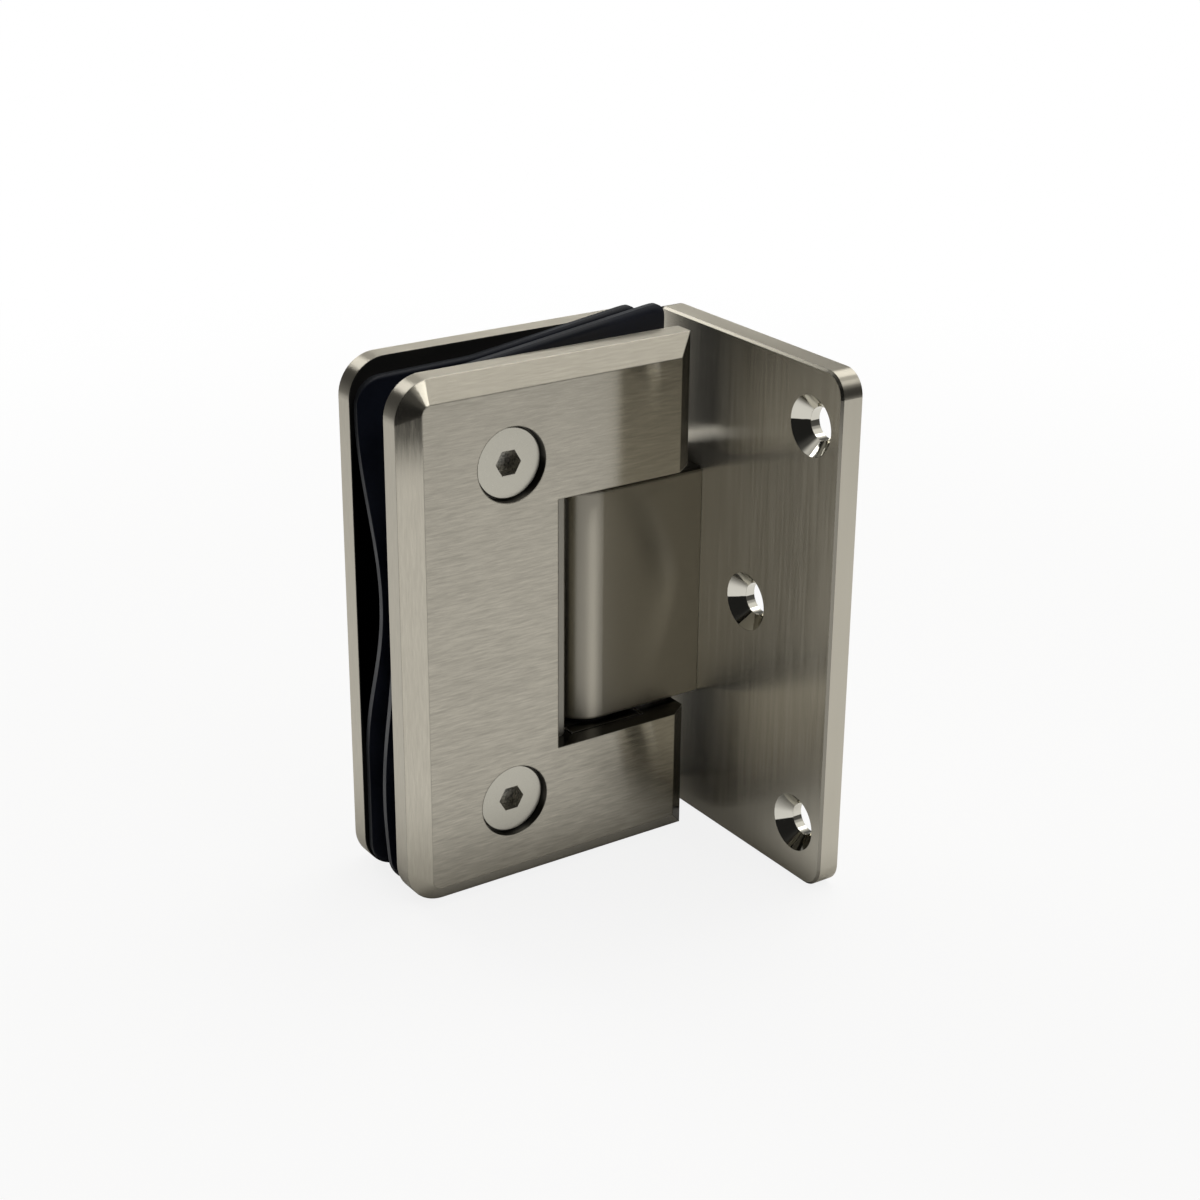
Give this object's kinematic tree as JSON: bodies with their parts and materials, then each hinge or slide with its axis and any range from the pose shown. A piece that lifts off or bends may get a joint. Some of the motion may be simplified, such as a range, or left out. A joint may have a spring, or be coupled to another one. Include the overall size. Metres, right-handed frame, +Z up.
{
  "type": "glass door hinge",
  "caption": "Wall-to-glass door hinge: bevelled clamp plates swing on a pin about a block fixed to an offset wall plate, a quarter turn each way.",
  "frame": {"origin": "on the wall surface behind the wall plate, at half height, in line with the middle of the glass", "axes": "+X into the wall, -Y towards the long flange of the wall plate, +Z up along the pivot pin"},
  "size_m": [0.0638, 0.0536, 0.0943],
  "materials": {
    "satin_nickel": "satin brushed nickel",
    "screw_nickel": "satin nickel plate",
    "plated_steel": "bright zinc plate",
    "ground_steel": "ground",
    "dark_steel": "black oxide",
    "spring_steel": "drawn wire",
    "bearing_nylon": "natural nylon",
    "black_nylon": "moulded",
    "clear_nylon": "moulded, milky",
    "black_rubber": "smooth sheet"
  },
  "bodies": {
    "wall_side": {"wall_plate": "satin_nickel", "pivot_block": "satin_nickel", "upper_block_screw": "plated_steel", "lower_block_screw": "plated_steel", "upper_bushing": "bearing_nylon", "lower_bushing": "bearing_nylon", "upper_washer": "black_nylon", "lower_washer": "black_nylon", "upper_detent_plunger": "black_nylon", "lower_detent_plunger": "black_nylon", "upper_detent_spring": "spring_steel", "lower_detent_spring": "spring_steel"},
    "glass_side": {"pivot_pin": "ground_steel", "front_clamp_plate": "satin_nickel", "rear_clamp_plate": "satin_nickel", "front_gasket": "black_rubber", "rear_gasket": "black_rubber", "upper_clamp_screw": "screw_nickel", "lower_clamp_screw": "screw_nickel", "upper_screw_sleeve": "clear_nylon", "lower_screw_sleeve": "clear_nylon", "upper_pin_set_screw": "dark_steel", "lower_pin_set_screw": "dark_steel"}
  },
  "joints": [
    {"name": "door_swing", "type": "hinge", "parent": "wall_side", "child": "glass_side", "pos_m": [-0.024, 0, 0], "axis": [0, 0, 1], "range_deg": [-90, 90]}
  ]
}
